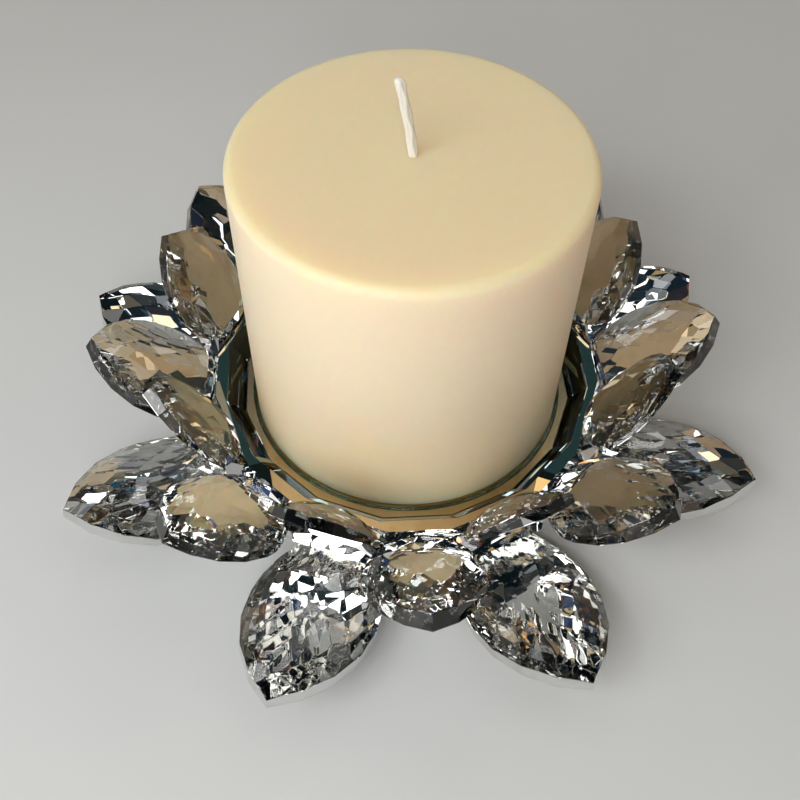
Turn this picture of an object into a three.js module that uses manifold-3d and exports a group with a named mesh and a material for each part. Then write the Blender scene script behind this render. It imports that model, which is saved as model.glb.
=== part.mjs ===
// Lotus candle holder: three tiers of checkerboard-cut glass petals round a cut glass bowl, on an
// octagonal foot, with the pillar candle that stands in the bowl.
// Millimetres, +Z up. The origin is on the table, under the middle of the foot.
import * as THREE from 'three';
import { ConvexGeometry } from 'three/addons/geometries/ConvexGeometry.js';
import { mergeVertices } from 'three/addons/utils/BufferGeometryUtils.js';
import Module from 'manifold-3d';

const wasm = await Module();
wasm.setup();

// Fits
const glueLine = 0.3; // clear glue between two ground glass faces
const candleSeatGap = 0.3; // play under the loose candle
const wickPlay = 0.3; // play between the wick and its bore, all round

// Candle and wick
const candleDiameter = 76;
const candleHeight = 72;
const candleRimRound = 1.8;
const candleFootChamfer = 0.8;
const wickDiameter = 2.1;
const wickStart = 6; // from the candle's foot up to the wick's lower end
const wickStanding = 17.6; // height of the free end above the wax
const wickLean = 3.2; // how far the free end leans towards -X
const wickBend = 4; // height above the wax by which the wick has bent over

// Bowl
const petalsPerTier = 8;
const bowlSides = 2 * petalsPerTier;
const candleRing = 3.5; // free floor between the candle and the wall
const bowlFloorThickness = 7.2;
const bowlDepth = 5.5;
const bowlFlare = 4.1; // how far the wall leans out from the floor to the rim
const rimToWaist = 6.9; // from the inner rim out to the widest place of the bowl
const waistDrop = 9.2; // from the rim down to the foot of the waist
const bowlFootInset = 2.4; // from the inner rim in to the bowl's lower edge

// Foot
const footHeight = 8;
const footOverhang = 2; // stock outside the petal seats before they are ground
const footEdgeChamfer = 0.6;

// Petals: each tier is seated by the middle of its root, on the petal's flat back
const firstUpperAzimuth = 27.5; // degrees from +X, shared by the upper and lower tiers
const tierStep = 360 / bowlSides; // the middle tier stands in the gaps of the upper one
const facetLength = 8.4; // long diagonal of one checkerboard facet
const facetWidth = 4.9; // short diagonal
const facetMargin = 3; // rows of facets laid beyond the outline, ground away at the edge
const wallFacetsPerArc = 2; // half the flats along each arc of the outline
const lowerTier = {
  name: 'lower_petal',
  azimuth: firstUpperAzimuth,
  tilt: 14,
  seatOut: -0.3, // from the inner rim's radius
  seatRise: 1.1, // above the table
  length: 46,
  width: 30.6,
  widest: 20.5, // from the root to the widest place
  rootWidth: 16,
  thickness: 7.8,
  sideWall: 2.4,
};
const middleTier = {
  name: 'middle_petal',
  azimuth: firstUpperAzimuth - tierStep,
  tilt: 35,
  seatOut: 6.4,
  seatBelowRim: 5.7,
  length: 31,
  width: 27,
  widest: 11.5,
  rootWidth: 17,
  thickness: 7,
  sideWall: 2.5,
};
const upperTier = {
  name: 'upper_petal',
  azimuth: firstUpperAzimuth,
  tilt: 60,
  seatOut: 4,
  seatBelowRim: 1.3,
  length: 29.2,
  width: 25,
  widest: 11,
  rootWidth: 14,
  thickness: 5.4,
  sideWall: 1.2,
};

// Places worked out from the sizes above
const candleRadius = candleDiameter / 2;
const bowlBottom = footHeight + glueLine;
const floorHeight = bowlBottom + bowlFloorThickness;
const rimHeight = floorHeight + bowlDepth;
const floorRadius = candleRadius + candleRing;
const rimRadius = floorRadius + bowlFlare;
const candleBottom = floorHeight + candleSeatGap;
const candleTop = candleBottom + candleHeight;
const allTiers = [lowerTier, middleTier, upperTier];
const cutterSize = 4 * (rimRadius + rimToWaist); // larger than anything that it grinds

// Round steps
const candleSteps = 64;
const roundSteps = 5;
const wickSides = 10;
const wickSteps = 14;
const weldDistance = 1e-4; // corners closer than this are one corner

// Finishes
const petalGlass = { color: 0xd9d6c8, roughness: 0.05, metalness: 0.6 };
const bowlGlass = { color: 0x9fb3ad, roughness: 0.03, metalness: 0.1 };
const footGlass = { color: 0xb9c2c0, roughness: 0.08, metalness: 0.4 };
const wax = { color: 0xeedcb4, roughness: 0.55, metalness: 0 };
const cotton = { color: 0xf1ece0, roughness: 0.9, metalness: 0 };

function mesh(name, geometry, finish) {
  const piece = new THREE.Mesh(geometry, new THREE.MeshStandardMaterial(finish));
  piece.name = name;
  return piece;
}

// Solid for cutting and joining, from any closed geometry
function solidOf(geometry) {
  const bare = geometry.clone();
  bare.deleteAttribute('normal');
  bare.deleteAttribute('uv');
  const merged = mergeVertices(bare, weldDistance);
  const vertProperties = Float32Array.from(merged.attributes.position.array);
  const triVerts = Uint32Array.from(merged.index.array);
  return new wasm.Manifold(new wasm.Mesh({ numProp: 3, vertProperties, triVerts }));
}

function geometryOf(solid) {
  const result = solid.getMesh();
  const geometry = new THREE.BufferGeometry();
  geometry.setAttribute('position', new THREE.BufferAttribute(result.vertProperties, 3));
  geometry.setIndex(new THREE.BufferAttribute(result.triVerts, 1));
  geometry.computeVertexNormals();
  return geometry;
}

// Turned body standing on Z, from a profile of radius and height
function turned(profile, sides, firstAzimuth = 0) {
  const points = profile.map(([radius, height]) => new THREE.Vector2(radius, height));
  const body = new THREE.LatheGeometry(points, sides);
  body.rotateX(Math.PI / 2);
  body.rotateZ(THREE.MathUtils.degToRad(firstAzimuth + 90));
  return body;
}

// Where a petal of a tier stands: local X runs from root to tip, Y across, Z out of the crown
function seatHeight(tier) {
  return tier.seatRise ?? rimHeight - tier.seatBelowRim;
}

function petalPlace(tier, number) {
  const azimuth = THREE.MathUtils.degToRad(tier.azimuth + (360 / petalsPerTier) * number);
  const tilt = THREE.MathUtils.degToRad(tier.tilt);
  const turn = new THREE.Matrix4().makeRotationZ(azimuth);
  const out = new THREE.Matrix4().makeTranslation(rimRadius + tier.seatOut, 0, seatHeight(tier));
  const lift = new THREE.Matrix4().makeRotationY(-tilt);
  return turn.multiply(out).multiply(lift);
}

// Radius of an arc that leaves level and falls by drop over a run
function arcRadius(run, drop) {
  return (run * run + drop * drop) / (2 * drop);
}

// Leaf outline: two arcs on each side, square at the root and pointed at the tip
function petalOutline(tier) {
  const half = tier.width / 2;
  const rootHalf = tier.rootWidth / 2;
  const tipRun = tier.length - tier.widest;
  const tipArc = arcRadius(tipRun, half);
  const rootArc = arcRadius(tier.widest, half - rootHalf);
  const tipAngle = Math.atan2(tipArc - half, tipRun);
  const rootAngle = Math.atan2(rootHalf - half + rootArc, -tier.widest);
  const quarter = Math.PI / 2;
  const outline = new THREE.Shape();
  outline.moveTo(0, -rootHalf);
  outline.absarc(tier.widest, rootArc - half, rootArc, -rootAngle, -quarter, false);
  outline.absarc(tier.widest, tipArc - half, tipArc, -quarter, -tipAngle, false);
  outline.absarc(tier.widest, half - tipArc, tipArc, tipAngle, quarter, false);
  outline.absarc(tier.widest, half - rootArc, rootArc, quarter, rootAngle, false);
  outline.closePath();
  return outline;
}

// Checkerboard crown: lozenge facets on a dome that falls with the square of the distance from the
// middle. The fall along and across is in the facets' own proportion, so every lozenge is flat.
function crownDome(tier) {
  const fallAcross = (tier.thickness - tier.sideWall) / (tier.width / 2) ** 2;
  const fallAlong = fallAcross * (facetWidth / facetLength) ** 2;
  const rows = Math.ceil(tier.length / facetLength + tier.width / facetWidth) + facetMargin;
  const reachAlong = tier.length + facetMargin * facetLength;
  const reachAcross = tier.width / 2 + facetMargin * facetWidth;
  const points = [];
  for (let i = -rows; i <= rows; i += 1) {
    for (let j = -rows; j <= rows; j += 1) {
      const along = (facetLength * (i + j + 1)) / 2;
      const across = (facetWidth * (i - j)) / 2;
      const inside = Math.abs(along) < reachAlong && Math.abs(across) < reachAcross;
      const height = tier.thickness - fallAlong * along ** 2 - fallAcross * across ** 2;
      if (inside) points.push(new THREE.Vector3(tier.widest + along, across, height));
    }
  }
  const lowest = Math.min(...points.map((point) => point.z)) - tier.thickness;
  for (const along of [-reachAlong, reachAlong]) {
    for (const across of [-reachAcross, reachAcross]) {
      points.push(new THREE.Vector3(tier.widest + along, across, lowest));
    }
  }
  return new ConvexGeometry(points);
}

// One cut petal, lying on its flat back
function petalGeometry(tier) {
  const blank = new THREE.ExtrudeGeometry(petalOutline(tier), {
    depth: 2 * tier.thickness,
    bevelEnabled: false,
    curveSegments: wallFacetsPerArc,
  });
  return geometryOf(solidOf(blank).intersect(solidOf(crownDome(tier))));
}

// Grind the glue seats of a tier: everything past the petals' root planes is cut away
function grindSeats(solid, tier) {
  let ground = solid;
  for (let number = 0; number < petalsPerTier; number += 1) {
    const cutter = new THREE.BoxGeometry(cutterSize, cutterSize, cutterSize);
    cutter.translate(cutterSize / 2 - glueLine, 0, 0);
    cutter.applyMatrix4(petalPlace(tier, number));
    ground = ground.subtract(solidOf(cutter));
  }
  return ground;
}

// Cut glass bowl: flared sixteen-sided hollow, outside ground to the seats of the upper two tiers
function bowlGeometry() {
  const waistRadius = rimRadius + rimToWaist;
  const blank = turned(
    [
      [0, bowlBottom],
      [rimRadius - bowlFootInset, bowlBottom],
      [waistRadius, rimHeight - waistDrop],
      [waistRadius, rimHeight],
      [0, rimHeight],
    ],
    bowlSides,
    middleTier.azimuth + tierStep / 2,
  );
  const hollow = turned(
    [
      [0, floorHeight],
      [floorRadius, floorHeight],
      [rimRadius + bowlFlare, rimHeight + bowlDepth], // the wall's slope, carried on above the rim
      [0, rimHeight + bowlDepth],
    ],
    bowlSides,
    middleTier.azimuth + tierStep / 2,
  );
  const ground = grindSeats(grindSeats(solidOf(blank), middleTier), upperTier);
  return geometryOf(ground.subtract(solidOf(hollow)));
}

// Octagonal foot: its eight sides are the seats of the lower petals
function footGeometry() {
  const stockRadius = (rimRadius + lowerTier.seatOut) / Math.cos(Math.PI / petalsPerTier) + footOverhang;
  const blank = turned(
    [
      [0, 0],
      [stockRadius - footEdgeChamfer, 0],
      [stockRadius, footEdgeChamfer],
      [stockRadius, footHeight],
      [0, footHeight],
    ],
    bowlSides,
    middleTier.azimuth,
  );
  return geometryOf(grindSeats(solidOf(blank), lowerTier));
}

// Pillar of wax with a softly rounded rim and a bore for the wick
function waxGeometry() {
  const boreRadius = wickDiameter / 2 + wickPlay;
  const boreFloor = candleBottom + wickStart - wickPlay;
  const profile = [
    [0, candleBottom],
    [candleRadius - candleFootChamfer, candleBottom],
    [candleRadius, candleBottom + candleFootChamfer],
  ];
  for (let step = 0; step <= roundSteps; step += 1) {
    const angle = (step / roundSteps) * (Math.PI / 2);
    profile.push([
      candleRadius - candleRimRound * (1 - Math.cos(angle)),
      candleTop - candleRimRound * (1 - Math.sin(angle)),
    ]);
  }
  profile.push([boreRadius, candleTop], [boreRadius, boreFloor], [0, boreFloor]);
  return turned(profile, candleSteps);
}

// Cotton wick: straight in the wax, bending over to one side just above it
function wickGeometry() {
  const route = new THREE.CurvePath();
  const foot = new THREE.Vector3(0, 0, candleBottom + wickStart);
  const mouth = new THREE.Vector3(0, 0, candleTop);
  const bend = new THREE.Vector3(0, 0, candleTop + wickBend);
  const end = new THREE.Vector3(-wickLean, 0, candleTop + wickStanding);
  route.add(new THREE.LineCurve3(foot, mouth));
  route.add(new THREE.QuadraticBezierCurve3(mouth, bend, end));
  const section = new THREE.Shape();
  section.absarc(0, 0, wickDiameter / 2, 0, 2 * Math.PI, false);
  return new THREE.ExtrudeGeometry(section, {
    steps: wickSteps,
    curveSegments: wickSides / 2,
    extrudePath: route,
  });
}

const holder = new THREE.Group();
holder.add(mesh('foot_plate', footGeometry(), footGlass));
holder.add(mesh('candle_bowl', bowlGeometry(), bowlGlass));
for (const tier of allTiers) {
  const cutPetal = petalGeometry(tier);
  for (let number = 0; number < petalsPerTier; number += 1) {
    const petal = mesh(`${tier.name}_${number + 1}`, cutPetal, petalGlass);
    petal.applyMatrix4(petalPlace(tier, number));
    holder.add(petal);
  }
}

const candle = new THREE.Group();
candle.add(mesh('candle_wax', waxGeometry(), wax));
candle.add(mesh('candle_wick', wickGeometry(), cotton));
holder.add(candle);

export default holder;
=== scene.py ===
"""Dresses the lotus candle holder: cut crystal petals, a glass bowl and foot, a wax pillar and its wick."""

import logging
import math
from dataclasses import dataclass
from enum import Enum, IntEnum

import bmesh
import bpy
import numpy as np
from mathutils import Matrix, Vector


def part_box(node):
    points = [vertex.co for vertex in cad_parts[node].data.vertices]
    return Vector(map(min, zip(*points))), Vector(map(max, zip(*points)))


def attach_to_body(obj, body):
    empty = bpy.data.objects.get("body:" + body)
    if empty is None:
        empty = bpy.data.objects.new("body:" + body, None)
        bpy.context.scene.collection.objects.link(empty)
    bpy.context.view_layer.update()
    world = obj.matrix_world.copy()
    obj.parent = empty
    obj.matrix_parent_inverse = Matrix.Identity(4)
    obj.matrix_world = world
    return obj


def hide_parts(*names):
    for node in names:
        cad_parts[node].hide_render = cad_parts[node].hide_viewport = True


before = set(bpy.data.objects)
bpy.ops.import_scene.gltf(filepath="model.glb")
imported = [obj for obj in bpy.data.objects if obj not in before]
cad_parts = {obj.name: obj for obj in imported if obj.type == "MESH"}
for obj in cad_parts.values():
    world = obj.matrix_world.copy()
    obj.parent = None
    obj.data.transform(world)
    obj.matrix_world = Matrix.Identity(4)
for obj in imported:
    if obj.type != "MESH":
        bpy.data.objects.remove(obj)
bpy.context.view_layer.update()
LOG = logging.getLogger("lotus_holder")
MM = 0.001
PETALS_PER_TIER = 8
LIGHT_BOUNCES = 24

Colour = tuple[float, float, float]
Point = tuple[float, float, float]
WHITE: Colour = (1.0, 1.0, 1.0)
WARM_BOARD: Colour = (1.0, 0.68, 0.35)
WARM_LAMP: Colour = (1.0, 0.55, 0.2)
WARM_WALL: Colour = (1.0, 0.78, 0.5)
TEAL_BOARD: Colour = (0.15, 0.5, 0.8)


class Body(Enum):
    """The rigid bodies that the pieces ride on."""

    HOLDER = "holder"
    CANDLE = "candle"


class Slot(Enum):
    """The record's material slots."""

    PETAL = "petal_glass"
    BOWL = "bowl_glass"
    FOOT = "foot_glass"
    WAX = "wax"
    COTTON = "cotton"


class Coat(IntEnum):
    """Place of each finish in a cut stone's list of materials.

    CLEAR is the bare glass and SILVER the mirror behind it. SECOND is the lacquer on a petal's back or the
    mirror on the bowl's floor. POLISHED is the narrow edge between two flats. BORDER is a petal's wall or
    the bowl's rim.
    """

    CLEAR = 0
    SILVER = 1
    SECOND = 2
    POLISHED = 3
    BORDER = 4


class ShaderTree:
    """Node tree of one material, with short calls for the nodes that the finishes share."""

    def __init__(self, name: str) -> None:
        """Starts an empty tree with a Principled shader at its end.

        Args:
            name: the material's name.
        """
        self.material = bpy.data.materials.new(name)
        self.material.use_nodes = True
        self.nodes = self.material.node_tree.nodes
        self.links = self.material.node_tree.links
        self.shader = self.nodes["Principled BSDF"]

    def node(self, kind: str, **settings: object) -> bpy.types.Node:
        """Adds a node.

        Args:
            kind: the node's type name.
            settings: properties of the node to set.

        Returns:
            The new node.
        """
        made = self.nodes.new(kind)
        for name, value in settings.items():
            setattr(made, name, value)
        return made

    def link(self, source: bpy.types.NodeSocket, target: bpy.types.NodeSocket) -> None:
        """Joins two sockets."""
        self.links.new(source, target)

    def set(self, **values: object) -> None:
        """Sets sockets of the Principled shader, with underscores for the spaces in their names."""
        for name, value in values.items():
            self.shader.inputs[name.replace("_", " ")].default_value = value

    def points(self) -> bpy.types.NodeSocket:
        """Gives the vector socket of the Object coordinates, which are in metres."""
        return self.node("ShaderNodeTexCoord").outputs["Object"]

    def noise(self, size: float, detail: float) -> bpy.types.NodeSocket:
        """Adds soft noise.

        Args:
            size: length of one patch in metres.
            detail: octaves of finer noise on top.

        Returns:
            The factor socket, about 0.5 on average.
        """
        texture = self.node("ShaderNodeTexNoise")
        texture.inputs["Scale"].default_value = 1.0 / size
        texture.inputs["Detail"].default_value = detail
        self.link(self.points(), texture.inputs["Vector"])
        return texture.outputs["Fac"]

    def span(self, factor: bpy.types.NodeSocket, low: float, high: float,
             start: float = 0.3, end: float = 0.7) -> bpy.types.NodeSocket:
        """Stretches a factor smoothly from one range to another and holds it within that.

        Args:
            factor: the socket to stretch.
            low: result at the start of the factor's range.
            high: result at its end.
            start: where the factor's range starts.
            end: where it ends.

        Returns:
            The socket of the result.
        """
        spread = self.node("ShaderNodeMapRange", interpolation_type="SMOOTHSTEP")
        for name, value in zip(("From Min", "From Max", "To Min", "To Max"), (start, end, low, high)):
            spread.inputs[name].default_value = value
        self.link(factor, spread.inputs["Value"])
        return spread.outputs["Result"]

    def blend(self, factor: bpy.types.NodeSocket, first: object, second: object) -> bpy.types.NodeSocket:
        """Mixes two colours.

        Args:
            factor: share of the second colour, from 0 to 1.
            first: a colour or a colour socket.
            second: a colour or a colour socket.

        Returns:
            The socket of the mixed colour.
        """
        mix = self.node("ShaderNodeMix", data_type="RGBA")
        self.link(factor, mix.inputs["Factor"])
        for name, value in (("A", first), ("B", second)):
            socket = next(entry for entry in mix.inputs if entry.name == name and entry.type == "RGBA")
            if isinstance(value, bpy.types.NodeSocket):
                self.link(value, socket)
            else:
                socket.default_value = (*value, 1.0)
        return next(entry for entry in mix.outputs if entry.type == "RGBA")

    def bump(self, height: bpy.types.NodeSocket, depth: float, strength: float) -> None:
        """Raises the surface's shading.

        Args:
            height: height socket, from 0 to 1.
            depth: rise at a height of 1, in metres.
            strength: share of the rise that the shading shows.
        """
        relief = self.node("ShaderNodeBump")
        relief.inputs["Strength"].default_value = strength
        relief.inputs["Distance"].default_value = depth
        self.link(height, relief.inputs["Height"])
        self.link(relief.outputs["Normal"], self.shader.inputs["Normal"])

    def feed(self, name: str, source: bpy.types.NodeSocket) -> None:
        """Joins a socket to the Principled shader's socket of that name."""
        self.link(source, self.shader.inputs[name])


@dataclass(frozen=True)
class CutCrystal:
    """Clear polished crystal with faint fingerprints."""

    name: str = "cut_crystal"
    tint: Colour = (0.985, 0.99, 0.98)
    bend: float = 1.54
    clean: float = 0.0
    smudged: float = 0.004
    smudge_size: float = 9.0 * MM
    smudge_detail: float = 3.0
    smudge_start: float = 0.5
    smudge_end: float = 0.8

    def make(self) -> bpy.types.Material:
        """Builds the glass.

        Returns:
            The material, whose roughness rises in soft smudges.
        """
        tree = ShaderTree(self.name)
        tree.set(Base_Color=(*self.tint, 1.0), IOR=self.bend, Transmission_Weight=1.0)
        smudges = tree.noise(self.smudge_size, self.smudge_detail)
        roughness = tree.span(smudges, self.clean, self.smudged, self.smudge_start, self.smudge_end)
        tree.feed("Roughness", roughness)
        return tree.material


@dataclass(frozen=True)
class MirrorCoat:
    """Metal coat on glass."""

    name: str
    bright: Colour
    tarnished: Colour
    mirror: float = 0.0
    dulled: float = 0.006
    cloud_size: float = 6.0 * MM
    cloud_detail: float = 4.0
    tarnish_start: float = 0.45
    tarnish_end: float = 0.75
    dull_start: float = 0.5
    dull_end: float = 0.8

    def make(self) -> bpy.types.Material:
        """Builds the metal.

        Returns:
            The material, which darkens and dulls a little in clouds.
        """
        tree = ShaderTree(self.name)
        clouds = tree.noise(self.cloud_size, self.cloud_detail)
        tarnish = tree.span(clouds, 0.0, 1.0, self.tarnish_start, self.tarnish_end)
        tree.set(Metallic=1.0)
        tree.feed("Base Color", tree.blend(tarnish, self.bright, self.tarnished))
        tree.feed("Roughness", tree.span(clouds, self.mirror, self.dulled, self.dull_start, self.dull_end))
        return tree.material


@dataclass(frozen=True)
class CandleWax:
    """Cream wax: light sinks in and comes out warmer."""

    name: str = "cream_wax"
    # These colours paint light and shade: the pale one is painted light up the side, the deeper one is
    # painted shade towards the foot, and top is painted shade on the top face.
    pale: Colour = (0.85, 0.72, 0.52)
    foot_shade_colour: Colour = (0.93, 0.73, 0.44)
    top: Colour = (0.80, 0.67, 0.42)
    roughness: float = 0.42
    bend: float = 1.44
    clearness: float = 0.85
    depth: float = 14.0 * MM
    colour_depths: Point = (1.0, 0.56, 0.24)
    mottle_size: float = 16.0 * MM
    mottle_detail: float = 4.0
    foot_shade_height: float = 12.0 * MM
    lit_side_above_middle: float = 20.0 * MM
    top_fade: float = 2.0 * MM
    grain_size: float = 1.6 * MM
    grain_detail: float = 3.0
    grain_depth: float = 0.03 * MM
    grain_strength: float = 0.5

    def make(self) -> bpy.types.Material:
        """Builds the wax.

        Returns:
            The material: subsurface wax, faintly mottled, with painted shade and light in its colour: deeper
                on top and towards the foot for shade, paler up the side for light.
        """
        low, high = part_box("candle_wax")
        middle = (low.z + high.z) / 2.0
        tree = ShaderTree(self.name)
        tree.set(Roughness=self.roughness, Subsurface_Weight=self.clearness, IOR=self.bend,
                 Subsurface_Radius=self.colour_depths, Subsurface_Scale=self.depth)
        split = tree.node("ShaderNodeSeparateXYZ")
        tree.link(tree.points(), split.inputs["Vector"])
        mottle = tree.node("ShaderNodeMath", operation="MULTIPLY_ADD")
        tree.link(tree.noise(self.mottle_size, self.mottle_detail), mottle.inputs[0])
        mottle.inputs[1].default_value = (high.z - low.z) / 2.0
        tree.link(split.outputs["Z"], mottle.inputs[2])
        foot_shade_end = low.z + self.foot_shade_height
        lit_side_start = middle + self.lit_side_above_middle
        # Painted shade and light: the colour rises from the shaded foot tone to the lit pale tone, its edge
        # jittered by the mottle.
        shade_to_light_ramp = tree.span(mottle.outputs[0], 0.0, 1.0, foot_shade_end, lit_side_start)
        side = tree.blend(shade_to_light_ramp, self.foot_shade_colour, self.pale)
        # Painted shade: the top face takes the darker top colour.
        crown = tree.span(split.outputs["Z"], 0.0, 1.0, high.z - self.top_fade, high.z)
        tree.feed("Base Color", tree.blend(crown, side, self.top))
        tree.bump(tree.noise(self.grain_size, self.grain_detail), self.grain_depth, self.grain_strength)
        return tree.material


@dataclass(frozen=True)
class WickCotton:
    """Waxed cotton braid."""

    name: str = "wick_cotton"
    light: Colour = (0.86, 0.84, 0.78)
    dark: Colour = (0.70, 0.66, 0.57)
    roughness: float = 0.85
    sheen: float = 0.2
    fibre_size: float = 0.35 * MM
    fibre_detail: float = 3.0
    fibre_depth: float = 0.08 * MM
    fibre_strength: float = 0.6

    def make(self) -> bpy.types.Material:
        """Builds the cotton.

        Returns:
            The material: matt off-white fibre with darker hollows.
        """
        tree = ShaderTree(self.name)
        fibre = tree.noise(self.fibre_size, self.fibre_detail)
        tree.set(Roughness=self.roughness, Sheen_Weight=self.sheen)
        tree.feed("Base Color", tree.blend(fibre, self.light, self.dark))
        tree.bump(fibre, self.fibre_depth, self.fibre_strength)
        return tree.material


@dataclass(frozen=True)
class TableTop:
    """Pale table, almost matt."""

    name: str = "pale_table"
    light: Colour = (0.62, 0.63, 0.62)
    dark: Colour = (0.58, 0.59, 0.58)
    smooth: float = 0.55
    rough: float = 0.61
    gloss: float = 0.2
    cloud_size: float = 90.0 * MM
    cloud_detail: float = 2.0

    def make(self) -> bpy.types.Material:
        """Builds the paint.

        Returns:
            The material: pale paint with very faint clouds.
        """
        tree = ShaderTree(self.name)
        clouds = tree.noise(self.cloud_size, self.cloud_detail)
        tree.set(Specular_IOR_Level=self.gloss)
        tree.feed("Base Color", tree.blend(clouds, self.light, self.dark))
        tree.feed("Roughness", tree.span(clouds, self.smooth, self.rough))
        return tree.material


def shown(name: str, mesh: bpy.types.Mesh) -> bpy.types.Object:
    """Puts a mesh into the scene.

    Args:
        name: the piece's name.
        mesh: its mesh, already in its place.

    Returns:
        The piece, at the origin.
    """
    piece = bpy.data.objects.new(name, mesh)
    bpy.context.scene.collection.objects.link(piece)
    return piece


def turned(radius: np.ndarray, height: np.ndarray, turns: int) -> np.ndarray:
    """Rings of a turned body: point (i, j) = (r_i cos t_j, r_i sin t_j, z_i).

    Args:
        radius: radii of the rings.
        height: heights of the rings.
        turns: points round each ring.

    Returns:
        The points, as rings by turns by 3.
    """
    angle = np.linspace(0.0, 2.0 * np.pi, turns, endpoint=False)
    x = radius[:, None] * np.cos(angle)
    y = radius[:, None] * np.sin(angle)
    return np.stack((x, y, np.broadcast_to(height[:, None], x.shape)), axis=-1)


def skinned(name: str, grid: np.ndarray, closed: bool, finish: bpy.types.Material) -> bpy.types.Object:
    """Lays a smooth skin over rings: quad (i, j) joins points j and j + 1 of rings i and i + 1.

    Args:
        name: the piece's name.
        grid: points, as rings by turns by 3.
        closed: whether the last ring meets the first one. If not, each end gets a flat face.
        finish: the piece's material.

    Returns:
        The piece, not yet attached to a body.
    """
    rings, turns = grid.shape[:2]
    step = np.arange(turns)
    after = (step + 1) % turns
    row = np.arange(rings if closed else rings - 1)[:, None] * turns
    above = (row + turns) % (rings * turns)
    corners = (row + step, row + after, above + after, above + step)
    faces = np.stack(corners, axis=-1).reshape(-1, len(corners)).tolist()
    if not closed:
        last = (rings - 1) * turns
        faces += [list(range(turns))[::-1], list(range(last, last + turns))]
    mesh = bpy.data.meshes.new(name)
    mesh.from_pydata(grid.reshape(-1, 3).tolist(), [], faces)
    mesh.polygons.foreach_set("use_smooth", np.ones(len(faces), dtype=bool))
    mesh.materials.append(finish)
    return shown(name, mesh)


def attach(piece: bpy.types.Object, body: Body, node: str | None = None) -> None:
    """Rides a piece on its body and hides the solid that it stands for.

    Args:
        piece: the piece.
        body: the rigid body that carries it.
        node: the solid that it stands for, if any.
    """
    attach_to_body(piece, body.value)
    if node:
        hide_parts(node)
    LOG.info("%s on %s, %d faces", piece.name, body.value, len(piece.data.polygons))


@dataclass
class CutStone:
    """A glass piece cut from a solid of the frame, with polished edges and silver below and outside."""

    node: str
    slot: Slot
    edge: float = 0.1 * MM
    weld: float = 2e-6
    flat: float = math.radians(0.3)
    downward: float = 0.2
    outward: float = 0.3

    def solid(self) -> bmesh.types.BMesh:
        """Copies the solid, welds its triangles and joins the coplanar ones.

        Returns:
            The body with one face for each flat of the solid.
        """
        body = bmesh.new()
        body.from_mesh(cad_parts[self.node].data)
        bmesh.ops.remove_doubles(body, verts=body.verts, dist=self.weld)
        bmesh.ops.dissolve_limit(body, angle_limit=self.flat, verts=body.verts, edges=body.edges)
        return body

    def cut(self) -> bmesh.types.BMesh:
        """Gives the body its final shape.

        Returns:
            The body with sharp edges, silvered where it looks down or outwards.
        """
        body = self.solid()
        for face in body.faces:
            middle = face.calc_center_median()
            outside = Vector((middle.x, middle.y, 0.0)).normalized()
            silvered = face.normal.z < -self.downward or face.normal.dot(outside) > self.outward
            face.material_index = Coat.SILVER if silvered else Coat.CLEAR
        return body

    def coat(self, body: bmesh.types.BMesh) -> None:
        """Lays a second coat over the finished body. A plain stone has none."""

    def build(self, finishes: list[bpy.types.Material]) -> bpy.types.Object:
        """Makes the piece with its finishes.

        Args:
            finishes: the materials, in the order of the coats.

        Returns:
            The finished piece.
        """
        body = self.cut()
        polished = [edge for edge in body.edges
                    if any(face.material_index == Coat.CLEAR for face in edge.link_faces)]
        bmesh.ops.bevel(body, geom=polished, offset=self.edge, offset_type="OFFSET", segments=1,
                        affect="EDGES", clamp_overlap=False, material=Coat.POLISHED)
        self.coat(body)
        mesh = bpy.data.meshes.new(f"{self.node}_cut")
        body.to_mesh(mesh)
        body.free()
        for finish in finishes:
            mesh.materials.append(finish)
        piece = shown(f"{self.node}_cut", mesh)
        attach(piece, Body.HOLDER, self.node)
        return piece


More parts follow.
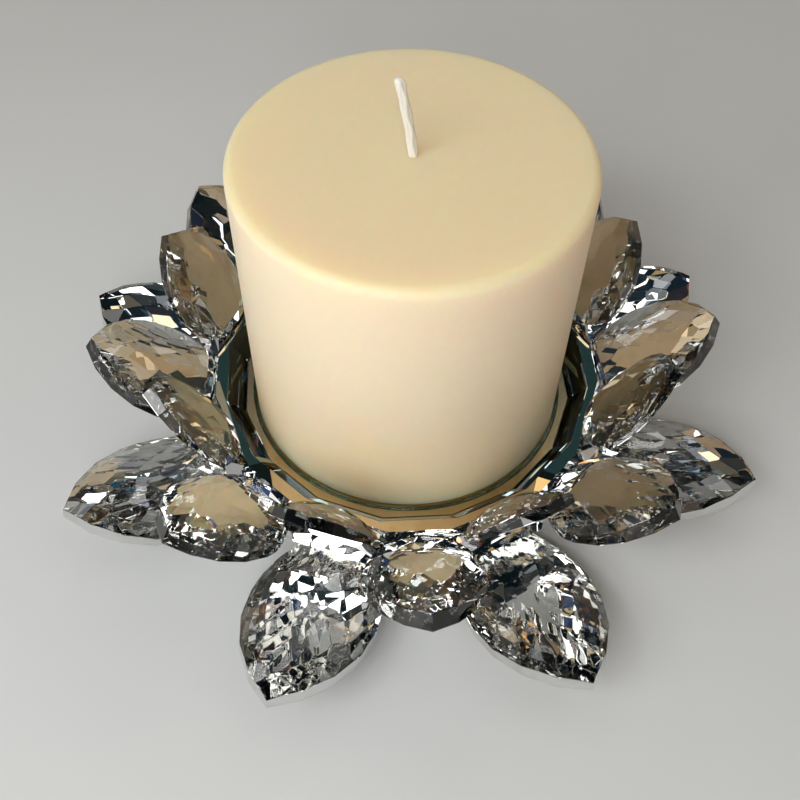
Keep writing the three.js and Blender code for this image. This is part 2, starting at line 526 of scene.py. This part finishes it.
@dataclass
class Petal(CutStone):
    """A petal whose crown facets are ground one by one, each a little off its place as by hand."""

    seed: int = 0
    tilt: float = math.radians(1.1)
    shortest_edge: float = 0.18 * MM
    headroom: float = 4.0 * MM
    facing: float = 0.3
    wall: Coat = Coat.BORDER
    lacquer: float = 0.06 * MM
    lacquer_gap: float = 0.01 * MM

    def cut(self) -> bmesh.types.BMesh:
        """Raises a blank from the outline of the flat back and grinds every crown facet into it.

        Returns:
            The ground body, its back silvered and its walls coated.
        """
        random = np.random.default_rng(self.seed)
        body = self.solid()
        back = max(body.faces, key=lambda face: face.calc_area())
        up = -back.normal
        crown = [(face.calc_center_median(), face.normal.copy())
                 for face in body.faces if face.normal.dot(up) > self.facing]
        height = max((corner.co - back.verts[0].co).dot(up) for corner in body.verts) + self.headroom
        outline = [corner.co.copy() for corner in back.verts]
        body.free()
        body = bmesh.new()
        self.prism(body, outline, up * height)
        for face in body.faces:
            face.material_index = Coat.SILVER if face.normal.dot(up) < -self.facing else self.wall
        for middle, normal in crown:
            lean = Vector(random.normal(0.0, self.tilt, 3))
            self.grind(body, middle, (normal + lean).normalized())
        bmesh.ops.remove_doubles(body, verts=body.verts, dist=self.shortest_edge)
        bmesh.ops.dissolve_degenerate(body, dist=self.shortest_edge / 2.0, edges=body.edges)
        bmesh.ops.recalc_face_normals(body, faces=body.faces)
        return body

    def prism(self, body: bmesh.types.BMesh, outline: list[Vector],
              rise: Vector) -> list[bmesh.types.BMFace]:
        """Adds a prism on an outline.

        Args:
            body: the mesh that it is added to.
            outline: corners of the foot.
            rise: from the foot to the top.

        Returns:
            The faces of the closed prism.
        """
        low = [body.verts.new(corner) for corner in outline]
        high = [body.verts.new(corner + rise) for corner in outline]
        faces = [body.faces.new(low), body.faces.new(list(reversed(high)))]
        for first, second, third, fourth in zip(low, high, high[1:] + high[:1], low[1:] + low[:1]):
            faces.append(body.faces.new((first, second, third, fourth)))
        bmesh.ops.recalc_face_normals(body, faces=faces)
        return faces

    def coat(self, body: bmesh.types.BMesh) -> None:
        """Lays a thin plate of lacquer over the silver on the flat back.

        Args:
            body: the finished petal.
        """
        back = max(body.faces, key=lambda face: face.calc_area())
        outline = [corner.co + back.normal * self.lacquer_gap for corner in back.verts]
        for face in self.prism(body, outline, back.normal * self.lacquer):
            face.material_index = Coat.SECOND

    def grind(self, body: bmesh.types.BMesh, middle: Vector, normal: Vector) -> None:
        """Cuts away what stands above a plane and closes the cut with one clear facet.

        Args:
            body: the stone.
            middle: a point of the plane.
            normal: the way the facet looks.
        """
        everything = body.verts[:] + body.edges[:] + body.faces[:]
        cut = bmesh.ops.bisect_plane(body, geom=everything, dist=self.weld, plane_co=middle,
                                     plane_no=normal, clear_outer=True)
        rim = [part for part in cut["geom_cut"] if isinstance(part, bmesh.types.BMEdge)]
        bmesh.ops.edgeloop_fill(body, edges=rim, mat_nr=Coat.CLEAR)


@dataclass
class Bowl(CutStone):
    """The bowl: its inner wall is clear, its outside is silvered, its floor and rim have a warm mirror."""

    level: float = 0.99
    candle_gap: float = 0.3 * MM
    ring_play: float = 0.2 * MM
    ring_width: float = 0.9 * MM
    ring_height: float = 0.4 * MM
    ring_gap: float = 0.02 * MM
    ring_sides: int = 12
    ring_turns: int = 160

    def cut(self) -> bmesh.types.BMesh:
        """Gives the bowl its coats.

        Returns:
            The body with the silver outside and the mirrors on the floor and the rim.
        """
        body = super().cut()
        rim = max(corner.co.z for corner in body.verts)
        for face in body.faces:
            if face.normal.z > self.level:
                on_rim = face.calc_center_median().z > rim - self.weld
                face.material_index = Coat.BORDER if on_rim else Coat.SECOND
        return body

    def floor_ring(self, finish: bpy.types.Material) -> bpy.types.Object:
        """Lays a thin ring of dark teal glass on the floor round the candle's foot.

        Its section is an ellipse, and side i of it at angle t is at radius r + w (1 - cos t) / 2 and at
        height z + h (1 - sin t) / 2.

        Args:
            finish: the glass.

        Returns:
            The finished piece.
        """
        low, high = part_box("candle_wax")
        inner = (high.x - low.x) / 2.0 + self.ring_play
        foot = low.z - self.candle_gap + self.ring_gap
        angle = np.linspace(0.0, 2.0 * np.pi, self.ring_sides, endpoint=False)
        radius = inner + self.ring_width * (0.5 - 0.5 * np.cos(angle))
        height = foot + self.ring_height * (0.5 - 0.5 * np.sin(angle))
        piece = skinned("bowl_floor_ring", turned(radius, height, self.ring_turns), True, finish)
        attach(piece, Body.HOLDER)
        return piece


@dataclass
class Candle:
    """Pillar candle: a wax pillar with a soft rim and a cotton wick that leans to one side."""

    rim_round: float = 2.2 * MM
    foot_round: float = 0.8 * MM
    turns: int = 128
    arc_steps: int = 10
    side_steps: int = 26
    top_steps: int = 18
    wick_sides: int = 48
    wick_rings: int = 240
    wick_bend: float = 1.25
    wick_end_round: float = 0.7 * MM
    wick_end_gap: float = 0.2 * MM
    strands: int = 4
    braid_pitch: float = 7.0 * MM
    braid_depth: float = 0.1

    def wax(self, finish: bpy.types.Material) -> bpy.types.Object:
        """Turns the pillar from a profile with quarter-round edges.

        Args:
            finish: the wax.

        Returns:
            The finished piece.
        """
        low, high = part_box("candle_wax")
        radius = (high.x - low.x) / 2.0
        arc = np.linspace(0.0, np.pi / 2.0, self.arc_steps)
        foot_r = radius - self.foot_round * (1.0 - np.sin(arc))
        foot_z = low.z + self.foot_round * (1.0 - np.cos(arc))
        rim_r = radius - self.rim_round * (1.0 - np.cos(arc))
        rim_z = high.z - self.rim_round * (1.0 - np.sin(arc))
        side_z = np.linspace(foot_z[-1], rim_z[0], self.side_steps)[1:-1]
        top_r = np.linspace(rim_r[-1], 0.0, self.top_steps)[1:-1]
        profile_r = np.concatenate((foot_r, np.full(len(side_z), radius), rim_r, top_r))
        profile_z = np.concatenate((foot_z, side_z, rim_z, np.full(len(top_r), high.z)))
        piece = skinned("candle_wax_pillar", turned(profile_r, profile_z, self.turns), False, finish)
        attach(piece, Body.CANDLE, "candle_wax")
        return piece

    def wick(self, finish: bpy.types.Material) -> bpy.types.Object:
        """Braids the wick on a path that rises in the wax, then bends over to one side.

        Ring i sits on the path at height z_i, and its radius at angle t is r (1 - d + d max(cos(n t + k z),
        cos(n t - k z))), so that two sets of strands wind round it in opposite ways.

        Args:
            finish: the cotton.

        Returns:
            The finished piece.
        """
        low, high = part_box("candle_wick")
        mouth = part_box("candle_wax")[1].z
        radius = (high.y - low.y) / 2.0
        lean = high.x - low.x - 2.0 * radius
        height = np.linspace(low.z, high.z - self.wick_end_gap, self.wick_rings)
        above = np.clip((height - mouth) / (high.z - mouth), 0.0, 1.0)
        shift = -lean * above ** self.wick_bend
        angle = np.linspace(0.0, 2.0 * np.pi, self.wick_sides, endpoint=False)
        turn = 2.0 * np.pi * height[:, None] / self.braid_pitch
        strands = np.maximum(np.cos(self.strands * angle + turn), np.cos(self.strands * angle - turn))
        end = np.sqrt(np.clip((high.z - height) / self.wick_end_round, 0.0, 1.0))
        girth = radius * end[:, None] * (1.0 - self.braid_depth + self.braid_depth * strands)
        x = shift[:, None] + girth * np.cos(angle)
        y = girth * np.sin(angle)
        grid = np.stack((x, y, np.broadcast_to(height[:, None], x.shape)), axis=-1)
        piece = skinned("candle_wick_braid", grid, False, finish)
        attach(piece, Body.CANDLE, "candle_wick")
        return piece


@dataclass(frozen=True)
class Softbox:
    """A rectangular softbox that faces the object.

    Its azimuth is its bearing from +X and its elevation the height above the horizon, both in degrees. Its
    width, height and distance are in metres. Its brightness is the radiance of its face: 1 shows as white.
    """

    name: str
    azimuth: float
    elevation: float
    width: float
    height: float
    brightness: float
    gel: Colour = WHITE
    distance: float = 1.2

    def hang(self) -> None:
        """Adds the lamp to the scene, out of the camera's sight."""
        bearing = math.radians(self.azimuth)
        rise = math.radians(self.elevation)
        level = math.cos(rise) * self.distance
        raised = math.sin(rise) * self.distance
        place = Vector((level * math.cos(bearing), level * math.sin(bearing), raised))
        light = bpy.data.lights.new(self.name, "AREA")
        light.shape = "RECTANGLE"
        light.size = self.width
        light.size_y = self.height
        light.energy = self.brightness * math.pi * self.width * self.height
        light.color = self.gel
        lamp = bpy.data.objects.new(self.name, light)
        bpy.context.scene.collection.objects.link(lamp)
        lamp.location = place
        lamp.rotation_euler = (-place).to_track_quat("-Z", "Y").to_euler()
        lamp.visible_camera = False


@dataclass(frozen=True)
class PanelField:
    """Rows of small square ceiling panels, lit or dark by a draw, in the colours of the gels.

    The rows run from the first azimuth to the last one, and from the lowest elevation to the highest one, in
    degrees. Their low ends are left free, because warm boards stand there.
    """

    seed: int
    first_azimuth: float
    last_azimuth: float
    lowest: float
    highest: float
    row_pitch: float = 6.5
    panel_pitch: float = 7.5
    panel_side: float = 0.1
    brightness: float = 2.9
    dark_share: float = 0.35
    gels: tuple[Colour, ...] = (WHITE, (0.9, 0.95, 1.0), (1.0, 0.97, 0.9), (0.55, 0.45, 0.28),
                                (0.12, 0.12, 0.12), (0.18, 0.12, 0.05), (0.02, 0.035, 0.10),
                                (0.08, 0.02, 0.012))
    free_below: float = 46.0
    free_beside: float = 30.0
    back: float = 90.0

    def hang(self) -> None:
        """Hangs the lit panels of all rows."""
        random = np.random.default_rng(self.seed)
        for elevation in np.arange(self.lowest, self.highest, self.row_pitch):
            pitch = self.panel_pitch / math.cos(math.radians(elevation))
            for azimuth in np.arange(self.first_azimuth, self.last_azimuth, pitch):
                lit = random.random() > self.dark_share
                gel = self.gels[random.integers(len(self.gels))]
                free = elevation < self.free_below and abs(azimuth - self.back) > self.free_beside
                if lit and not free:
                    name = f"panel_{elevation:.0f}_{azimuth:.0f}"
                    panel = Softbox(name, azimuth, elevation, self.panel_side, self.panel_side,
                                    self.brightness, gel)
                    panel.hang()


@dataclass(frozen=True)
class Room:
    """The room: pale low walls, dimmer to the right, under a dark ceiling.

    The heights are those of a direction of length 1, so they run from 0 at the horizon to 1 overhead.
    """

    wall: Colour = (0.4, 0.4, 0.395)
    ceiling: Colour = (0.010, 0.022, 0.031)
    right: Colour = (0.5, 0.48, 0.45)
    wall_top: float = 0.10
    ceiling_start: float = 0.24
    right_start: float = 0.5

    def make(self) -> bpy.types.World:
        """Builds the world.

        Returns:
            The world: a ramp from the wall to the ceiling, times a ramp from the left to the right.
        """
        world = bpy.data.worlds.new("room")
        world.use_nodes = True
        nodes = world.node_tree.nodes
        links = world.node_tree.links
        place = nodes.new("ShaderNodeTexCoord")
        split = nodes.new("ShaderNodeSeparateXYZ")
        links.new(place.outputs["Generated"], split.inputs["Vector"])
        dim = nodes.new("ShaderNodeVectorMath")
        dim.operation = "MULTIPLY"
        upward = ((self.wall_top, self.wall), (self.ceiling_start, self.ceiling))
        across = ((0.0, WHITE), (self.right_start, self.right))
        for socket, axis, stops in zip(dim.inputs, "ZX", (upward, across)):
            ramp = nodes.new("ShaderNodeValToRGB")
            links.new(split.outputs[axis], ramp.inputs["Fac"])
            for stop, (position, colour) in zip(ramp.color_ramp.elements, stops):
                stop.position = position
                stop.color = (*colour, 1.0)
            links.new(ramp.outputs["Color"], socket)
        links.new(dim.outputs["Vector"], nodes["Background"].inputs["Color"])
        return world


@dataclass
class Studio:
    """Table, lights and camera."""

    table_radius: float = 3.0
    table_corners: int = 96
    eye: Point = (0.0, -0.1595, 0.2166)
    yaw: float = math.radians(-0.53)
    pitch: float = math.radians(52.77)
    roll: float = math.radians(1.31)
    focal_pixels: float = 996.0
    image_pixels: float = 800.0
    sensor: float = 36.0
    nearest: float = 0.01
    key_distance: float = 0.7

    def table(self, finish: bpy.types.Material) -> None:
        """Lays the table: a round sheet at the height that the foot stands on.

        Args:
            finish: the paint.
        """
        angle = np.linspace(0.0, 2.0 * np.pi, self.table_corners, endpoint=False)
        rim = np.stack((np.cos(angle), np.sin(angle), np.zeros_like(angle)), axis=-1) * self.table_radius
        mesh = bpy.data.meshes.new("table_top")
        mesh.from_pydata(rim.tolist(), [], [list(range(len(rim)))])
        mesh.materials.append(finish)
        shown("table_top", mesh)

    def camera(self) -> None:
        """Sets the camera at the photograph's place: yaw, then look down, then roll."""
        ahead = Vector((math.sin(self.yaw) * math.cos(self.pitch),
                        math.cos(self.yaw) * math.cos(self.pitch), -math.sin(self.pitch)))
        level = Vector((math.cos(self.yaw), -math.sin(self.yaw), 0.0))
        upward = level.cross(ahead)
        right = level * math.cos(self.roll) + upward * math.sin(self.roll)
        up = upward * math.cos(self.roll) - level * math.sin(self.roll)
        lens = bpy.data.cameras.new("photo_camera")
        lens.sensor_width = self.sensor
        lens.lens = self.focal_pixels / self.image_pixels * self.sensor
        lens.clip_start = self.nearest
        camera = bpy.data.objects.new("photo_camera", lens)
        bpy.context.scene.collection.objects.link(camera)
        turn = Matrix((right, up, -ahead)).transposed().to_4x4()
        camera.matrix_world = Matrix.Translation(self.eye) @ turn
        bpy.context.scene.camera = camera

    def key(self) -> list[Softbox]:
        """Lists the key light at the front left.

        Returns:
            A dim low row, then two rows of small bright boxes, like the panes of a window.
        """
        boxes = []
        for azimuth in (216.0, 242.0, 268.0):
            boxes.append(Softbox(f"key_low_{azimuth:.0f}", azimuth, elevation=17.0, width=0.31, height=0.2,
                                 brightness=1.0, distance=self.key_distance))
        for elevation in (34.0, 49.0):
            for azimuth in (212.0, 231.0, 250.0, 269.0):
                boxes.append(Softbox(f"key_{elevation:.0f}_{azimuth:.0f}", azimuth, elevation, width=0.15,
                                     height=0.13, brightness=7.9, distance=self.key_distance))
        return boxes

    def ceiling(self) -> list[PanelField]:
        """Lists the fields of panels at the back, at both sides and over the front.

        Returns:
            The four fields.
        """
        return [PanelField(seed=6, first_azimuth=26.0, last_azimuth=154.0, lowest=21.0, highest=76.0),
                PanelField(seed=3, first_azimuth=-4.0, last_azimuth=24.0, lowest=47.0, highest=76.0),
                PanelField(seed=4, first_azimuth=158.0, last_azimuth=186.0, lowest=47.0, highest=76.0),
                PanelField(seed=13, first_azimuth=200.0, last_azimuth=340.0, lowest=56.0, highest=86.0)]

    def boards(self) -> list[Softbox]:
        """Lists the boards and lamps of the room that the glass shows.

        Returns:
            Warm boards for the middle petals, teal ones for the bowl's rim, and low warm lamps.
        """
        boxes = []
        for azimuth in (40.0, 140.0):
            boxes.append(Softbox(f"warm_board_{azimuth:.0f}", azimuth, elevation=31.0, width=0.5, height=0.4,
                                 brightness=0.4, gel=WARM_BOARD))
        for azimuth in (71.0, 109.0):
            boxes.append(Softbox(f"teal_board_{azimuth:.0f}", azimuth, elevation=50.0, width=0.42,
                                 height=0.36, brightness=0.12, gel=TEAL_BOARD, distance=1.5))
        boxes.append(Softbox("warm_right", azimuth=5.0, elevation=14.0, width=0.5, height=0.25,
                             brightness=3.5, gel=WARM_LAMP))
        for name, azimuth, brightness in (("back_left", 150.0, 0.8), ("back_right", 40.0, 0.5)):
            boxes.append(Softbox(name, azimuth, elevation=15.0, width=0.9, height=0.3,
                                 brightness=brightness, gel=WARM_WALL))
        return boxes

    def lights(self) -> None:
        """Hangs all lamps and sets the room round them."""
        for lamp in (*self.key(), *self.ceiling(), *self.boards()):
            lamp.hang()
        bpy.context.scene.world = Room().make()


def main() -> None:
    """Builds the pieces, then the studio round them."""
    logging.basicConfig(level=logging.INFO, format="%(message)s")
    crystal = CutCrystal().make()
    polished = CutCrystal("worn_edges", clean=0.02, smudged=0.08).make()
    silver = MirrorCoat("silver_mirror", (0.77, 0.77, 0.76), (0.67, 0.66, 0.64)).make()
    lacquer = MirrorCoat("back_lacquer", (0.62, 0.62, 0.61), (0.52, 0.52, 0.50), dulled=0.004).make()
    # Painted shade: the middle and upper petals get dark-tinted walls that stand in for the dark seen
    # through clear glass walls.
    dark_painted_walls = CutCrystal("painted_dark_wall", tint=(0.15, 0.15, 0.145)).make()
    walls = {"lower": Coat.SILVER, "middle": Coat.BORDER, "upper": Coat.BORDER}
    for row, (tier, wall) in enumerate(walls.items()):
        for number in range(1, PETALS_PER_TIER + 1):
            seed = PETALS_PER_TIER * row + number
            petal = Petal(f"{tier}_petal_{number}", Slot.PETAL, seed=seed, wall=wall)
            petal.build([crystal, silver, lacquer, polished, dark_painted_walls])
    teal = CutCrystal("bowl_crystal", tint=(0.60, 0.80, 0.87)).make()
    floor = MirrorCoat("warm_mirror", (0.50, 0.38, 0.21), (0.43, 0.32, 0.16), mirror=0.2, dulled=0.28).make()
    rim = MirrorCoat("rim_mirror", (0.60, 0.47, 0.29), (0.52, 0.40, 0.23)).make()
    bowl = Bowl("candle_bowl", Slot.BOWL)
    bowl.build([teal, silver, floor, polished, rim])
    bowl.floor_ring(CutCrystal("ring_crystal", tint=(0.30, 0.46, 0.44)).make())
    CutStone("foot_plate", Slot.FOOT).build([teal, silver, lacquer, polished])
    candle = Candle()
    candle.wax(CandleWax().make())
    candle.wick(WickCotton().make())
    studio = Studio()
    studio.table(TableTop().make())
    studio.lights()
    studio.camera()
    scene = bpy.context.scene
    scene.view_settings.view_transform = "Standard"
    scene.cycles.max_bounces = LIGHT_BOUNCES
    scene.cycles.transmission_bounces = LIGHT_BOUNCES
    scene.cycles.glossy_bounces = LIGHT_BOUNCES


if __name__ == "__main__":
    main()
